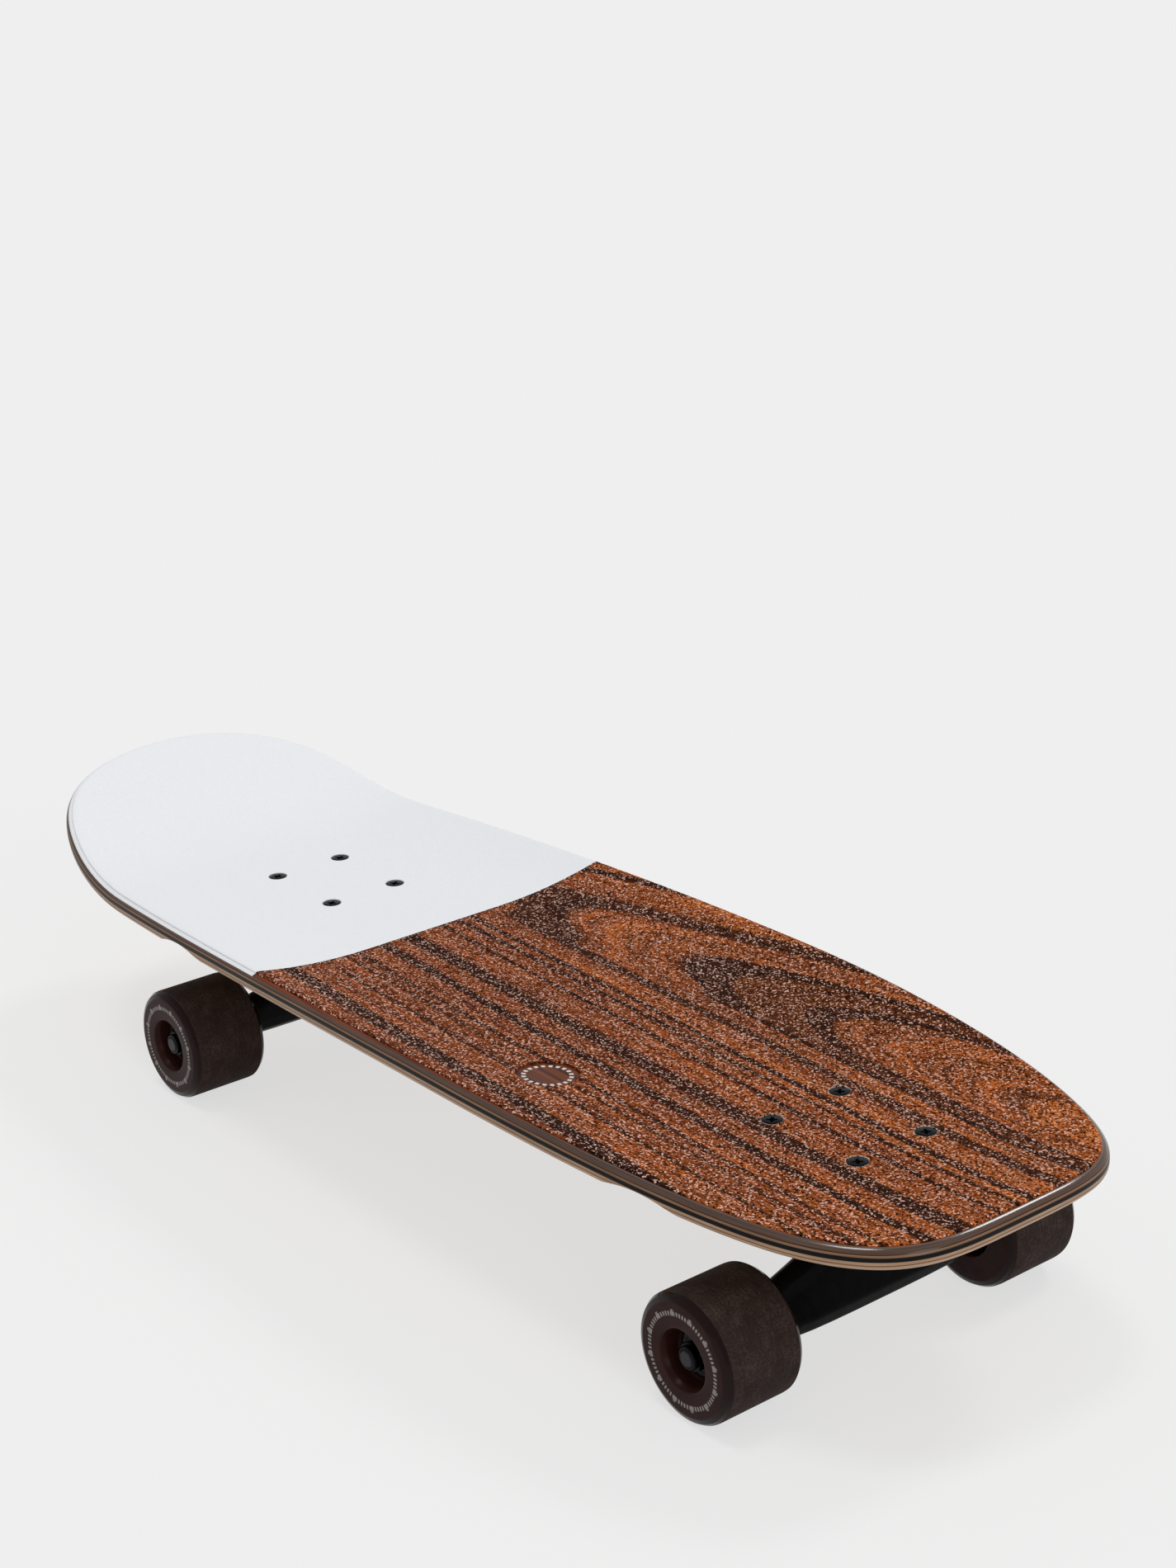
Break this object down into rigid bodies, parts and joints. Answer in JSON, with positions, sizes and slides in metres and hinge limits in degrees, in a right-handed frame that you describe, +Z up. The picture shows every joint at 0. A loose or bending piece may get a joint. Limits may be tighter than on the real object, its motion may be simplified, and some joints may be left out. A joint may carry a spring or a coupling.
{
  "type": "cruiser skateboard",
  "caption": "Short wide skateboard with a concave laminated deck, an upturned tail, gritted top, steering trucks on risers and wide soft wheels.",
  "frame": {"origin": "on the ground, under the middle of the board", "axes": "+X along the board towards the nose, +Y to the left for someone facing the nose, +Z up; the wheels' flats rest at Z = 0"},
  "size_m": [0.7014, 0.231, 0.1352],
  "materials": {
    "maple": "clear sealed maple plies with a walnut-brown and a dark ply",
    "grip": "clear fine grit over a rosewood print at the nose and satin white paint at the tail",
    "cast": "cast aluminium with a black semi-gloss coating",
    "black_steel": "blackened steel",
    "steel": "ground bright steel",
    "shield": "steel rings with black shields",
    "black_pad": "matte black polyurethane",
    "bushing": "satin black urethane",
    "urethane": "maroon-brown urethane, ground tread and glossy lips"
  },
  "bodies": {
    "board": {"deck": "maple", "grip_sheet": "grip", "front_riser_pad": "black_pad", "front_baseplate": "cast", "front_pivot_cup": "black_pad", "front_kingpin": "black_steel", "front_kingpin_nut": "black_steel", "front_board_washer": "black_steel", "front_board_bushing": "bushing", "front_road_bushing": "bushing", "front_road_washer": "black_steel", "front_inboard_left_mounting_bolt": "black_steel", "front_inboard_left_mounting_nut": "black_steel", "front_inboard_right_mounting_bolt": "black_steel", "front_inboard_right_mounting_nut": "black_steel", "front_outboard_left_mounting_bolt": "black_steel", "front_outboard_left_mounting_nut": "black_steel", "front_outboard_right_mounting_bolt": "black_steel", "front_outboard_right_mounting_nut": "black_steel", "rear_riser_pad": "black_pad", "rear_baseplate": "cast", "rear_pivot_cup": "black_pad", "rear_kingpin": "black_steel", "rear_kingpin_nut": "black_steel", "rear_board_washer": "black_steel", "rear_board_bushing": "bushing", "rear_road_bushing": "bushing", "rear_road_washer": "black_steel", "rear_inboard_left_mounting_bolt": "black_steel", "rear_inboard_left_mounting_nut": "black_steel", "rear_inboard_right_mounting_bolt": "black_steel", "rear_inboard_right_mounting_nut": "black_steel", "rear_outboard_left_mounting_bolt": "black_steel", "rear_outboard_left_mounting_nut": "black_steel", "rear_outboard_right_mounting_bolt": "black_steel", "rear_outboard_right_mounting_nut": "black_steel"},
    "front_hanger_set": {"front_hanger": "cast", "front_axle": "steel", "front_left_axle_nut": "black_steel", "front_right_axle_nut": "black_steel", "front_left_spacer_stack": "steel", "front_right_spacer_stack": "steel"},
    "rear_hanger_set": {"rear_hanger": "cast", "rear_axle": "steel", "rear_left_axle_nut": "black_steel", "rear_right_axle_nut": "black_steel", "rear_left_spacer_stack": "steel", "rear_right_spacer_stack": "steel"},
    "front_left_wheel_set": {"front_left_wheel": "urethane", "front_left_outer_bearing": "shield", "front_left_inner_bearing": "shield"},
    "front_right_wheel_set": {"front_right_wheel": "urethane", "front_right_outer_bearing": "shield", "front_right_inner_bearing": "shield"},
    "rear_left_wheel_set": {"rear_left_wheel": "urethane", "rear_left_outer_bearing": "shield", "rear_left_inner_bearing": "shield"},
    "rear_right_wheel_set": {"rear_right_wheel": "urethane", "rear_right_outer_bearing": "shield", "rear_right_inner_bearing": "shield"}
  },
  "joints": [
    {"name": "front_steer", "type": "hinge", "parent": "board", "child": "front_hanger_set", "pos_m": [0.23, 0, 0.051], "axis": [0.8818, 0, 0.4717], "range_deg": [-15, 15], "stiffness_Nm_per_rad": 110, "deforming": ["front_board_bushing", "front_road_bushing"]},
    {"name": "rear_steer", "type": "hinge", "parent": "board", "child": "rear_hanger_set", "pos_m": [-0.145, 0, 0.051], "axis": [-0.8818, 0, 0.4717], "range_deg": [-15, 15], "stiffness_Nm_per_rad": 110, "deforming": ["rear_board_bushing", "rear_road_bushing"]},
    {"name": "front_left_wheel_spin", "type": "hinge", "parent": "front_hanger_set", "child": "front_left_wheel_set", "pos_m": [0.2552, 0.08535, 0.03], "axis": [0, 1, 0], "continuous": true},
    {"name": "front_right_wheel_spin", "type": "hinge", "parent": "front_hanger_set", "child": "front_right_wheel_set", "pos_m": [0.2552, -0.08535, 0.03], "axis": [0, 1, 0], "continuous": true},
    {"name": "rear_left_wheel_spin", "type": "hinge", "parent": "rear_hanger_set", "child": "rear_left_wheel_set", "pos_m": [-0.1702, 0.08535, 0.03], "axis": [0, 1, 0], "continuous": true},
    {"name": "rear_right_wheel_spin", "type": "hinge", "parent": "rear_hanger_set", "child": "rear_right_wheel_set", "pos_m": [-0.1702, -0.08535, 0.03], "axis": [0, 1, 0], "continuous": true}
  ]
}
